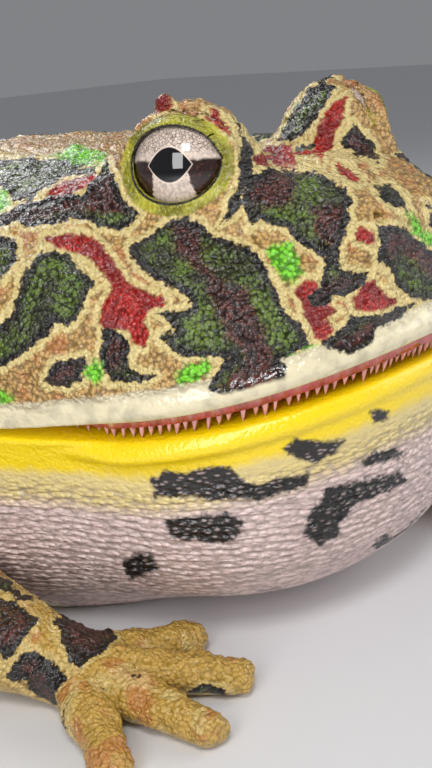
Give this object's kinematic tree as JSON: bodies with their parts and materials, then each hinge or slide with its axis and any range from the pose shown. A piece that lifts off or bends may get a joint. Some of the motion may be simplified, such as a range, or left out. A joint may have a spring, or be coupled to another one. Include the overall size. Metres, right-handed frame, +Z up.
{
  "type": "argentine horned frog",
  "caption": "Life-size still model of an argentine horned frog sitting on its belly, mouth slightly parted over small upper teeth, for display.",
  "frame": {"origin": "centre of the bounding box's bottom face, on the floor under the belly", "axes": "+Z up, the frog faces -Y, its left side is +X"},
  "size_m": [0.134, 0.1158, 0.0643],
  "materials": {
    "skin": "wet granular skin, green and brown patches in a cream and red network",
    "jaw_skin": "wet skin, bright yellow lip over pale chin with dark blotches",
    "belly_skin": "wet wrinkled pale pink skin with dark blotches",
    "eye": "clear wet cornea over a cream iris with brown speckled patches and a black pupil"
  },
  "bodies": {
    "root": {"head": "skin", "lower_jaw": "jaw_skin", "throat": "belly_skin", "torso": "skin", "left_eye": "eye", "right_eye": "eye", "left_upper_arm": "skin", "right_upper_arm": "skin", "left_forearm": "skin", "right_forearm": "skin", "left_hand": "skin", "right_hand": "skin", "left_thigh": "skin", "right_thigh": "skin", "left_shank": "skin", "right_shank": "skin", "left_foot": "skin", "right_foot": "skin"}
  },
  "joints": []
}
